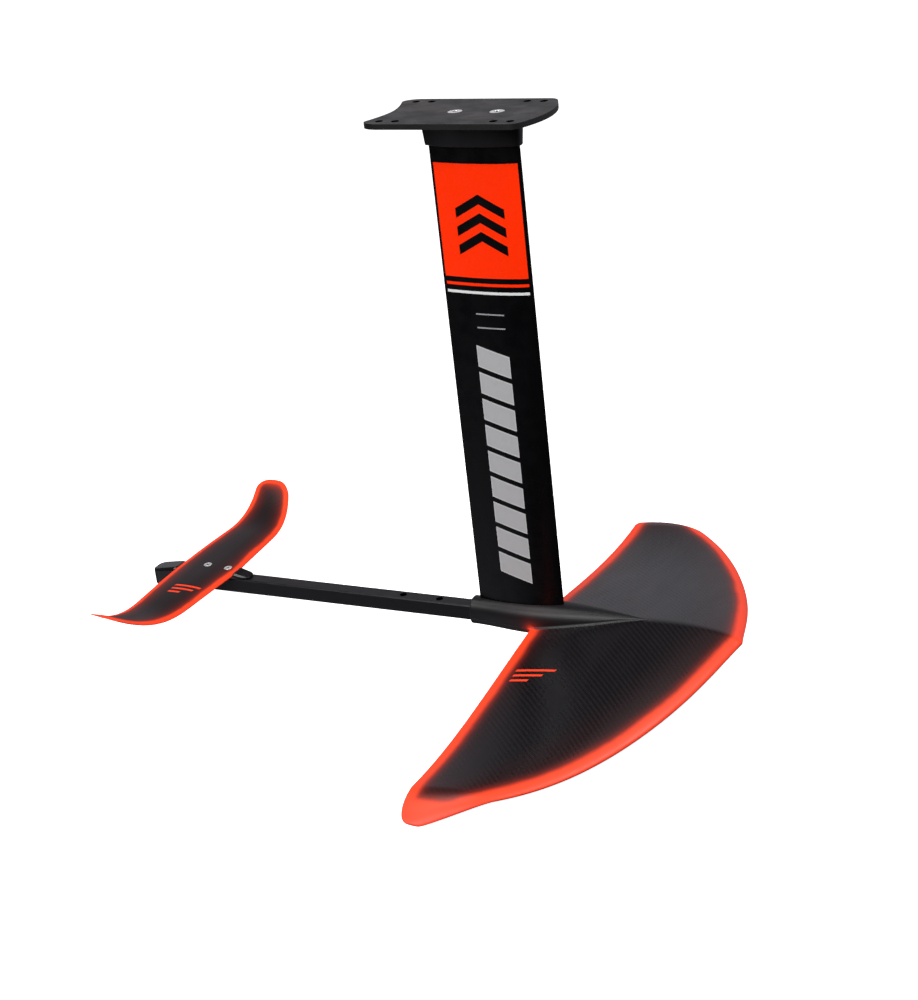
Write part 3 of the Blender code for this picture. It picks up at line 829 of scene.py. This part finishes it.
def wing_point(wing, e, s, face, known=None):
    """A point at s of the chord. face is 1 on top, -1 below and 0 on the camber line."""
    le, te, full, slope, twist = known or station(wing, e)
    chord = le - te
    run = math.hypot(1.0, slope)
    line, half = airfoil(s, wing["camber"], wing["thick"])
    lift = line * chord + face * (half * chord + wing["tail"] * s * (0.4 + 0.6 * full))
    return (le - s * chord, e * wing["half_span"] - lift * slope / run,
            spine(wing, e) + twist * s + lift / run)


def wing_height(wing, x, y, face):
    """Height of the wing's top or underside over a point near its root."""
    e = abs(y) / wing["half_span"]
    for _ in range(4):
        known = station(wing, e)
        s = min(1.0, max(0.0, (known[0] - x) / (known[0] - known[1])))
        point = wing_point(wing, e, s, face, known)
        e = max(0.0, e + (abs(y) - point[1]) / wing["half_span"])
    return point[2]


def wing_ring(wing, e, side, count):
    known = station(wing, e)
    ring = []
    for i in range(2 * count + 1):
        share = abs(count - i) / count
        s = 1 - math.cos(share * math.pi / 2)
        x, y, z = wing_point(wing, e, s, 1 if i <= count else -1, known)
        ring.append((x, side * y, z))
    return ring


def wing_body(name, wing, inner, turns, count):
    start = wing["tip"][0]
    at = [start * i / inner for i in range(inner)]
    at += [start + (1 - start) * math.sin(math.radians(89.7) * i / turns)
           for i in range(turns + 1)]
    rings = [wing_ring(wing, e, -1, count) for e in reversed(at)]
    rings += [wing_ring(wing, e, 1, count) for e in at[1:]]
    return loft(name, rings)


def edge_tree(wing, s, from_e):
    """Closely spaced points along one edge of the wing, on both sides."""
    count = 1600
    tree = KDTree(2 * count)
    for i in range(count):
        e = from_e + (1 - from_e) * i / (count - 1)
        x, y, z = wing_point(wing, e, s, 0)
        tree.insert((x, y, z), 2 * i)
        tree.insert((x, -y, z), 2 * i + 1)
    tree.balance()
    return tree


def mark_edges(obj, wing, root):
    """Stores how far each point is from the wing's edges and tips."""
    front = edge_tree(wing, 0.0, 0.0)
    back = edge_tree(wing, 1.0, root)
    tip = Vector(wing_point(wing, 1.0, 0.5, 0))
    attribute(obj, "from_le", lambda co: front.find(co)[2])
    attribute(obj, "from_te", lambda co: back.find(co)[2])
    attribute(obj, "from_tip", lambda co: math.hypot(tip.y - abs(co.y),
                                                     max(0.0, co.z - tip.z) * 0.6))


# -------- collar and fairing

COLLAR_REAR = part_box("front_wing")[0].x
COLLAR_BOTTOM = -0.6251
WASHER_BORE = 0.0053
WASHER_CUP = 0.0042  # depth of the cup that a bolt head sits in
FAIRING_APEX = 0.1580
COLLAR_ROUND = 0.0020
FILLET = 0.0034
FILLET_END = 18.0  # degrees short of flat where the fillet stops in a small step
TE_ROOT = 0.0115
ARC_STEPS = 20
FILLET_STEPS = 9


def collar_crest(x):
    """How far the fairing has sunk toward its apex at x."""
    return max(0.0, (x - 0.040) / (FAIRING_APEX - 0.040))


def collar_low(x):
    """Height of the collar's underside at x, on the middle line."""
    return blend(-0.6230, COLLAR_BOTTOM, (x + 0.069) / 0.075) + 0.0080 * collar_crest(x)**1.5


def collar_size(x, inset):
    """Half width, top, underside, and how boxy it is above and below its middle."""
    nose = max(0.0, (x - 0.020) / (FAIRING_APEX - 0.020))
    wide = blend(0.0148, 0.0210, (x + 0.070) / 0.085) * (1 - nose**1.75)
    top = blend(-0.5909, -0.5875, (x + 0.068) / 0.110) - 0.0094 * collar_crest(x)**1.9
    return (max(wide, 0.0010) - inset, top - inset, collar_low(x) + inset,
            2.35 - 0.15 * nose, 3.8 - 1.6 * nose)


def collar_face(x, size, face):
    """From the middle of the top (or bottom) round to the wing, as (y, z) points."""
    wide, top, low, upper, lower = size
    mid, tall = (top + low) / 2, (top - low) / 2
    crown = top if face > 0 else low

    def wing_z(y, side=face):
        return wing_height(FRONT, max(x, TE_ROOT + 0.0006), y, side)

    def power_at(rise):
        return upper if rise > 0 else lower

    def side_y(z):
        share, power = min(1.0, abs(z - mid) / tall), power_at(z - mid)
        return wide * (1 - share**power) ** (1 / power)

    rise = face * (crown - wing_z(wide))
    radius = FILLET * blend(0.06, 1.0, (x - TE_ROOT + 0.0060) / 0.0080)
    radius = min(radius, 0.45 * max(rise, 0.0))
    start_z = wing_z(wide) + face * radius if rise > 0.0002 else mid + face * 0.2 * tall
    share = max(-1.0, min(1.0, (start_z - mid) / tall * face))
    end = math.asin(math.copysign(abs(share) ** (power_at(share * face) / 2), share))
    points = []
    for i in range(ARC_STEPS + 1):
        a = math.pi / 2 + (end - math.pi / 2) * i / ARC_STEPS
        c, s = max(0.0, math.cos(a)), math.sin(a)
        power = power_at(s * face)
        points.append((c ** (2 / power) * wide,
                       mid + face * math.copysign(abs(s) ** (2 / power), s) * tall))
    buried = rise <= 0.0002
    for i in range(1, FILLET_STEPS + 1):
        b = math.radians(90 - (90 - FILLET_END) * i / FILLET_STEPS)
        y = side_y(start_z) + radius * (1 - math.sin(b))
        z = start_z if buried else wing_z(y) + face * radius * (1 - math.cos(b))
        points.append((y, z))
    y = points[-1][0] + 0.0001
    sunk = min(0.0005, 0.3 * (wing_z(y, 1) - wing_z(y, -1)))
    points.append((y, start_z if buried else wing_z(y) - face * sunk))
    return points


def collar_ring(x, inset=0.0):
    size = collar_size(x, inset)
    half = collar_face(x, size, 1) + collar_face(x, size, -1)[::-1]
    ring = [(x, -y, z) for y, z in half]
    return ring + [(x, y, z) for y, z in reversed(half[1:-1])]


def make_front_wing(finish):
    wing = wing_body("front_wing_fine", FRONT, 96, 34, 52)
    rings = [collar_ring(COLLAR_REAR + COLLAR_ROUND * (1 - math.cos(a)),
                         COLLAR_ROUND * (1 - math.sin(a))) for a in arc(6)]
    x = COLLAR_REAR + COLLAR_ROUND
    while x < FAIRING_APEX - 0.0012:
        x += 0.0006 if abs(x - TE_ROOT) < 0.007 or x > FAIRING_APEX - 0.012 else 0.0018
        rings.append(collar_ring(x))
    joined(wing, loft("collar", rings))
    room = loft("bar_room", [bar_ring(COLLAR_REAR - 0.010, GAP), bar_ring(BAR_HIGH.x + GAP, GAP)])
    joined(room, extruded("mast_room", [mast_outline(GAP)], BAR_HIGH.z - 0.002, -0.580))
    for end, x in zip(ENDS, MAST_SCREW_X):
        low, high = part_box(f"mast_bolt_washer_{end}")
        joined(room, rod("washer_room", x, (high.x - low.x) / 2 + GAP, BAR_LOW.z + 0.001, -0.6400))
    for x in WING_SCREW_X:
        joined(room, countersink("wing_sink", x, 0.0064, 0.0034, collar_low(x), 0.0008, -0.612, -1))
    cut(wing, room)
    smooth(wing, 32)
    mark_edges(wing, FRONT, 0.055)

    def on_collar(co):
        if abs(co.y) > 0.027 or co.x > FAIRING_APEX:
            return 0.0
        if co.x < TE_ROOT:
            return 1.0
        off = max(co.z - wing_height(FRONT, co.x, co.y, 1),
                  wing_height(FRONT, co.x, co.y, -1) - co.z)
        return min(1.0, max(0.0, off / 0.0006))

    attribute(wing, "collar", on_collar)
    marks = wing.data.attributes
    for on, te, le in zip(*(marks[name].data for name in ("collar", "from_te", "from_le"))):
        te.value += 0.0075 * on.value
        le.value += 0.05 * on.value
    stands_for(wing, "front_wing", finish)


def make_rear_wing(finish):
    wing = wing_body("rear_wing_fine", REAR, 90, 40, 40)
    for end, x in zip(ENDS, REAR_SCREW_X):
        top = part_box(f"rear_wing_screw_{end}")[1].z
        cut(wing, countersink("rear_sink", x, 0.0057, 0.0029, top - 0.0006, 0.0007, -0.605))
    smooth(wing, 32)
    mark_edges(wing, REAR, 0.0)
    stands_for(wing, "rear_wing", finish)


# -------- rear wing cradle

CRADLE_SEAT = BAR_HIGH.z + GAP + 0.0001
SEAT_PAST = 0.0006  # how far the wing's seat runs past the wing's edges
SEAT_ROOF = -0.575
# x, half width, top, bottom, how round the top corners are
CRADLE_STATIONS = [
    (0.0000, 0.0040, -0.5990, -0.6150, 0.0030), (0.0010, 0.0072, -0.5981, -0.6170, 0.0030),
    (0.0040, 0.0104, -0.5972, -0.6188, 0.0030), (0.0090, 0.0122, -0.5961, -0.6196, 0.0030),
    (0.0170, 0.0126, -0.5948, -0.6198, 0.0036), (0.0350, 0.0126, -0.5918, -0.6198, 0.0040),
    (0.0380, 0.0112, -0.5912, CRADLE_SEAT, 0.0040), (0.1250, 0.0110, -0.5917, CRADLE_SEAT, 0.0040),
    (0.1330, 0.0104, -0.5936, CRADLE_SEAT, 0.0034), (0.1400, 0.0090, -0.5952, CRADLE_SEAT, 0.0024),
    (0.1440, 0.0066, -0.5964, CRADLE_SEAT, 0.0015), (0.1455, 0.0034, -0.5972, CRADLE_SEAT, 0.0008),
]


def cradle_ring(x, half_width, top, low, rounding):
    half = [(half_width - rounding * (1 - math.sin(a)), top - rounding * (1 - math.cos(a)))
            for a in arc(8)]
    half += [(half_width - 0.001 * (1 - math.cos(a)), low + 0.001 * (1 - math.sin(a)))
             for a in arc(3)]
    return [(x, y, z) for y, z in half] + [(x, -y, z) for y, z in reversed(half)]


def cradle_rings():
    """Rings between the stations, eased so that the moulding has no kinks along it."""
    rings = []
    steps = 8
    last = CRADLE_STATIONS[-1]
    for number, (near, far) in enumerate(zip(CRADLE_STATIONS, CRADLE_STATIONS[1:])):
        before = CRADLE_STATIONS[max(0, number - 1)]
        after = CRADLE_STATIONS[min(len(CRADLE_STATIONS) - 1, number + 2)]
        span = far[0] - near[0]
        for i in range(steps):
            t = i / steps
            row = [near[0] + span * t]
            for k in range(1, 5):
                out = (far[k] - before[k]) / (far[0] - before[0]) * span
                back = (after[k] - near[k]) / (after[0] - near[0]) * span
                if k == 3 or abs(far[k] - near[k]) < 1e-6:
                    out = back = far[k] - near[k]
                lowest, highest = sorted((near[k], far[k]))
                t2, t3 = t * t, t * t * t
                value = ((2 * t3 - 3 * t2 + 1) * near[k] + (t3 - 2 * t2 + t) * out
                         + (3 * t2 - 2 * t3) * far[k] + (t3 - t2) * back)
                row.append(min(highest, max(lowest, value)))
            rings.append(cradle_ring(CRADLE_LOW.x + row[0], *row[1:]))
    return rings + [cradle_ring(CRADLE_LOW.x + last[0], *last[1:])]


def make_cradle():
    cradle = loft("rear_wing_cradle_fine", cradle_rings())
    cut(cradle, loft("tail_room", [bar_ring(BAR_LOW.x - GAP, GAP),
                                   bar_ring(CRADLE_HIGH.x + 0.010, GAP)]))
    seat_rings = []
    for i in range(-14, 15):
        ring = wing_ring(REAR, abs(i) / 14 * 0.12, 1 if i >= 0 else -1, 34)
        face = [(x, y, z - GAP) for x, y, z in ring[34:]]
        for end, past in ((0, SEAT_PAST), (-1, -SEAT_PAST)):
            x, y, z = face[end]
            face[end] = (x + past, y, z)
        roof = [(x, y, SEAT_ROOF) for x, y, _ in (face[-1], face[0])]
        seat_rings.append(face + roof)
    cut(cradle, loft("wing_seat", seat_rings))
    for x in REAR_SCREW_X:
        cut(cradle, rod("cradle_bore", x, 0.0029, -0.590, -0.605, 48))
    stands_for(smooth(cradle, 30, True), "rear_wing_cradle", gloss_finish())


# -------- fasteners


def screw(node, head, shank, socket, pitch, up, finish):
    """A flat-headed socket screw. Rings stand for its thread. up = -1: head below."""
    x = middle(node).x
    low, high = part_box(node)
    top, end = (high.z, low.z) if up > 0 else (low.z, high.z)
    rim, slope = 0.0006, head - shank
    profile = [(0.0, top), (head - rim, top)]
    for i in range(1, 6):
        a = math.pi / 2 * i / 5
        profile.append((head - rim + 0.0004 * math.sin(a) + 0.0002 * i / 5,
                        top - up * 0.0003 * (1 - math.cos(a))))
    profile += [(head, top - up * rim), (shank, top - up * (rim + slope))]
    thread = abs(end - top) - rim - slope - 0.0050
    turns = int(thread / pitch)
    for i in range(turns):
        z = top - up * (rim + slope + 0.0040 + i * pitch)
        profile += [(shank, z), (shank, z - up * pitch * 0.2),
                    (shank - pitch * 0.28, z - up * pitch * 0.5)]
    profile += [(shank - 0.0003, end + up * 0.0006), (shank - 0.0009, end), (0.0, end)]
    made = turned(node + "_fine", profile, x)
    deep = top - up * 0.0028
    corner, flat = socket / math.sqrt(3), socket / 2 - 0.0001
    mouth = [(0.0, top + up * 0.002), (corner, top + up * 0.002), (corner, top),
             (flat, top - up * (corner - flat)), (0.0, top - up * (corner - flat))]
    hole = extruded("hex", [circle(x, corner, 6)], *sorted((deep, top + up * 0.002)))
    cut(made, hole, turned("mouth", mouth, x, 48))
    smooth(made, 30, True)
    attribute(made, "radius", lambda co: math.hypot(co.x - x, co.y))
    mark_painted_hole_shade(made, [(x, 0.0)], corner + 0.0001, (top - up * 0.0002, deep - up * 0.0002))
    stands_for(made, node, finish)


def washer(node, finish):
    """A cupped washer with eased rims."""
    x = middle(node).x
    low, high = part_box(node)
    outer, top, bottom = (high.x - low.x) / 2, high.z, low.z
    ease = 0.0003
    profile = [(WASHER_BORE, top), (outer - ease, top), (outer, top - ease),
               (outer, bottom + ease), (outer - ease, bottom), (0.0089, bottom),
               (0.0087, bottom + 0.0002), (0.0087, bottom + 0.0008),
               (WASHER_BORE, bottom + WASHER_CUP), (WASHER_BORE, top)]
    made = turned(node + "_fine", profile, x)
    smooth(made, 30, True)
    attribute(made, "radius", lambda co: math.hypot(co.x - x, co.y))
    stands_for(made, node, finish)


def make_fasteners():
    bright, plain = steel_finish(), insert_finish()
    for end in ENDS:
        screw(f"plate_screw_{end}", 0.0084, 0.0039, 0.0050, 0.00125, 1, bright)
        screw(f"mast_bolt_{end}", 0.0083, 0.0039, 0.0050, 0.00125, -1, bright)
        screw(f"wing_screw_{end}", 0.0060, 0.0030, 0.0040, 0.0010, -1, bright)
        screw(f"rear_wing_screw_{end}", 0.0053, 0.0025, 0.0036, 0.0008, 1, bright)
        washer(f"mast_bolt_washer_{end}", bright)
        for kind in ("mast_head_insert", "mast_foot_insert", "tail_insert"):
            materials = NODES[f"{kind}_{end}"].data.materials
            materials.clear()
            materials.append(plain)


# -------- assembly

# How far the orange spray reaches in from an edge, and how it falls off along that reach
FRONT_BANDS = [
    ("from_le", 0.070, [(0.154, 0.98), (0.234, 0.28), (0.291, 0.085), (0.36, 0.025),
                        (0.47, 0.009), (0.70, 0.004)]),
    ("from_te", 0.060, [(0.133, 0.98), (0.240, 0.28), (0.307, 0.085), (0.39, 0.022),
                        (0.52, 0.006), (0.75, 0.002)]),
    ("from_tip", 0.075, [(0.300, 0.98), (0.382, 0.30), (0.440, 0.09), (0.52, 0.022),
                         (0.66, 0.006), (0.82, 0.002)]),
]
REAR_BANDS = [
    ("from_le", 0.030, [(0.17, 0.98), (0.27, 0.30), (0.37, 0.10), (0.52, 0.035), (0.72, 0.010)]),
    ("from_te", 0.030, [(0.16, 0.98), (0.26, 0.30), (0.37, 0.12), (0.54, 0.045), (0.76, 0.012)]),
    ("from_tip", 0.030, [(0.20, 0.98), (0.31, 0.30), (0.41, 0.10), (0.54, 0.03), (0.74, 0.006)]),
]
# Plain bars on the wings' upper faces: their rear end, then the y and front end of each
FRONT_BARS = (0.0280, [(-0.1040, 0.0780), (-0.1135, 0.0650), (-0.1230, 0.0510)])
REAR_BARS = (-0.4600, [(-0.0610, -0.4230), (-0.0695, -0.4290), (-0.0780, -0.4430)])
TWILL_TURN = math.radians(0.5)
REAR_TWILL_TURN = math.radians(8.0)

BLACK_ANODISED = anodised("bar_black_anodised", (0.0045, 0.0043, 0.0056, 1.0), 0.32, 0.30,
                          (0.01, 1.0, 1.0)).material
BLOCK_BLACK = anodised("block_black", (0.0045, 0.0043, 0.0052, 1.0), 0.42, 0.30,
                       (1.0, 1.0, 0.05)).material
FRONT_CARBON = carbon("front_wing_carbon", (0.0044, 0.0036, 0.0046, 1.0), 0.0019, TWILL_TURN, 1.0,
                      0.30, FRONT_BANDS, FRONT_BARS, 0.38, (0.22, 0.30))
REAR_CARBON = carbon("rear_wing_carbon", (0.0125, 0.0076, 0.0086, 1.0), 0.0023, REAR_TWILL_TURN,
                     -1.0, 0.12, REAR_BANDS, REAR_BARS, 0.24, (0.36, 0.44))

make_plate()
make_head_block(BLOCK_BLACK)
make_mast()
make_bar(BLACK_ANODISED)
make_front_wing(FRONT_CARBON)
make_rear_wing(REAR_CARBON)
make_cradle()
make_fasteners()

# -------- studio

FLOOR_SIZE = 60.0
FLOOR_Z = CAD_BOX[0].z - 0.0005
WALL_LIGHT = 0.38
UNDER_LIGHT = 0.30
LOW_LIGHT = 0.80
ROOM_LIGHT = 0.05


def white_finish(name):
    """Glowing white that is clear from behind, so that it never hides the object."""
    look = Look(name, 0.9)
    look.set("Base Color", (0.9, 0.9, 0.9, 1.0))
    look.set("Emission Color", (1.0, 1.0, 1.0, 1.0))
    look.set("Emission Strength", 1.0)
    look.set("Alpha", look.rest(look.node("NewGeometry").outputs["Backfacing"]))
    return look.material


def backdrop(obj):
    """Shown to the camera, and left out of the light that falls on the object."""
    obj.data.materials.append(white_finish(obj.name + "_white"))
    obj.visible_diffuse = obj.visible_glossy = obj.visible_shadow = False


def make_floor():
    bm = bmesh.new()
    bmesh.ops.create_grid(bm, x_segments=8, y_segments=8, size=FLOOR_SIZE / 2)
    bmesh.ops.translate(bm, verts=bm.verts, vec=(0.0, 0.0, FLOOR_Z))
    floor = from_bmesh("floor", bm)
    if floor.data.polygons[0].normal.z < 0:
        floor.data.flip_normals()
    backdrop(floor)
    bm = bmesh.new()
    bmesh.ops.create_uvsphere(bm, u_segments=48, v_segments=24, radius=FLOOR_SIZE / 2)
    dome = from_bmesh("surround", bm)
    dome.data.flip_normals()
    backdrop(dome)


def make_world():
    """A dim room: a pale wall behind the object and weak glows from low down."""
    world = bpy.data.worlds.new("studio")
    bpy.context.scene.world = world
    world.use_nodes = True
    steps = Steps(world.node_tree)
    x, y, z = steps.split(steps.node("TexCoord").outputs["Generated"])

    def ease(value, low, high, to_low, to_high):
        return steps.spread(value, low, high, to_low, to_high, "SMOOTHSTEP")

    behind = ease(y, -0.15, 0.45, 0.0, 1.0)
    wall = steps.times(ease(z, -0.10, 0.05, 0.0, WALL_LIGHT), ease(z, 0.40, 0.62, 1.0, 0.0))
    under = ease(z, -0.35, 0.0, UNDER_LIGHT, 0.0)
    left = steps.times(ease(x, -0.30, -0.55, 0.0, LOW_LIGHT), ease(y, -0.10, -0.50, 0.0, 1.0))
    low_left = steps.times(left, ease(z, -0.37, -0.47, 0.0, 1.0))
    around = steps.plus(steps.times(behind, steps.plus(wall, under)), low_left)
    background = steps.tree.nodes["Background"].inputs
    steps.put(background["Strength"], steps.plus(around, ROOM_LIGHT))
    steps.put(background["Color"], (0.99, 0.96, 1.05, 1.0))


def softbox(name, place, width, height, power):
    """A soft rectangular light, aimed at the middle of the object."""
    light = bpy.data.lights.new(name, "AREA")
    light.shape = "RECTANGLE"
    light.size = width
    light.size_y = height
    light.energy = power
    lamp = linked(name, light)
    lamp.location = place
    aim = (CAD_BOX[0] + CAD_BOX[1]) / 2 - Vector(place)
    lamp.rotation_euler = aim.to_track_quat("-Z", "Y").to_euler()
    lamp.visible_camera = False


def make_camera():
    azimuth, elevation, roll = (math.radians(a) for a in (27.41, 23.16, -6.47))
    target = Vector((-0.0573, 0.0051, -0.4605))
    distance = 2.31365
    back = Vector((math.sin(azimuth) * math.cos(elevation),
                   -math.cos(azimuth) * math.cos(elevation), math.sin(elevation)))
    level = (-back).cross(Vector((0, 0, 1))).normalized()
    above = level.cross(-back)
    right = math.cos(roll) * level + math.sin(roll) * above
    up = math.cos(roll) * above - math.sin(roll) * level
    data = bpy.data.cameras.new("camera")
    data.lens = 70.58
    data.shift_x = -0.0151
    data.shift_y = -0.0032
    camera = linked("camera", data)
    facing = Matrix((right, up, back)).transposed().to_4x4()
    camera.matrix_world = Matrix.Translation(target + back * distance) @ facing
    bpy.context.scene.camera = camera


make_floor()
make_world()
softbox("key", (-0.40, -2.16, 1.29), 2.6, 1.4, 74.0)
softbox("overhead", (-0.80, -0.25, 1.50), 0.8, 0.8, 14.0)
softbox("behind", (0.15, 0.55, 1.55), 1.3, 1.3, 3.5)
softbox("front", (1.25, 0.10, 1.15), 0.9, 0.9, 27.0)
make_camera()
bpy.context.scene.view_settings.view_transform = "Standard"

bpy.context.view_layer.update()
